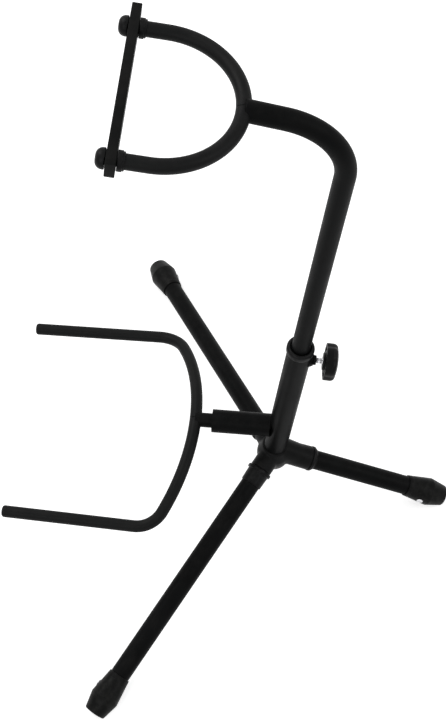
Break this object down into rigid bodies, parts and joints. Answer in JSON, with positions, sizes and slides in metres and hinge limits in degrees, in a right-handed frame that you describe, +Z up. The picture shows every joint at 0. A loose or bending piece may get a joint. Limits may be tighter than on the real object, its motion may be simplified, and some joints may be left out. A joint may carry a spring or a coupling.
{
  "type": "saxophone stand",
  "caption": "Folding-style floor stand for a saxophone: tripod base, leaning telescopic column, padded lower fork, and an upper yoke closed by a rubber strap.",
  "frame": {"origin": "on the floor, in the middle of the stand's box seen from above", "axes": "+Z up; -Y towards the instrument's side, where the fork and yoke point; +X to the right seen from behind the column"},
  "size_m": [0.5934, 0.4844, 0.7037],
  "materials": {
    "black_tube": "satin",
    "cast_metal": "satin",
    "black_rubber": "matte",
    "soft_cover": "satin",
    "moulded_plastic": "satin",
    "bare_steel": "zinc plated"
  },
  "bodies": {
    "stand": {"hub_casting": "cast_metal", "hub_bolt": "bare_steel", "hub_washer": "bare_steel", "column_plug": "bare_steel", "column_tube": "black_tube", "column_bush": "moulded_plastic", "clamp_nut": "black_tube", "fork_socket": "black_tube", "fork_bush": "moulded_plastic", "leg_tube_right": "black_tube", "leg_collar_right": "moulded_plastic", "rubber_foot_right": "black_rubber", "leg_tube_left": "black_tube", "leg_collar_left": "moulded_plastic", "rubber_foot_left": "black_rubber", "leg_tube_rear": "black_tube", "leg_collar_rear": "moulded_plastic", "rubber_foot_rear": "black_rubber", "foot_rivets": "bare_steel"},
    "clamp": {"clamp_screw": "bare_steel", "clamp_knob": "moulded_plastic"},
    "neck_glide": {"gooseneck_glide": "moulded_plastic"},
    "gooseneck": {"gooseneck_tube": "black_tube", "yoke_rod": "black_tube", "yoke_cover_right": "soft_cover", "yoke_cover_left": "soft_cover", "yoke_collar_right": "moulded_plastic", "yoke_collar_left": "moulded_plastic", "yoke_cap_right": "moulded_plastic", "yoke_cap_left": "moulded_plastic"},
    "strap": {"retaining_strap": "black_rubber"},
    "fork": {"fork_stub": "black_tube", "fork_rod": "black_tube", "fork_cover_right": "soft_cover", "fork_cover_left": "soft_cover"}
  },
  "joints": [
    {"name": "neck_slide", "type": "slide", "parent": "stand", "child": "neck_glide", "axis": [0, 0.1156, 0.9933], "range_m": [-0.09, 0.08]},
    {"name": "neck_swivel", "type": "hinge", "parent": "neck_glide", "child": "gooseneck", "pos_m": [0, 0.05445, 0.19834], "axis": [0, 0.1156, 0.9933], "continuous": true},
    {"name": "clamp_turn", "type": "hinge", "parent": "stand", "child": "clamp", "pos_m": [0, 0.09633, 0.29867], "axis": [0, 0.9933, -0.1156], "range_deg": [0, 720]},
    {"name": "strap_swing", "type": "hinge", "parent": "gooseneck", "child": "strap", "pos_m": [-0.067, -0.07526, 0.69414], "axis": [0, -0.9887, 0.1502], "range_deg": [0, 180]},
    {"name": "fork_turn", "type": "hinge", "parent": "stand", "child": "fork", "pos_m": [0, -0.00075, 0.1542], "axis": [0, -0.9999, 0.0112], "continuous": true}
  ]
}
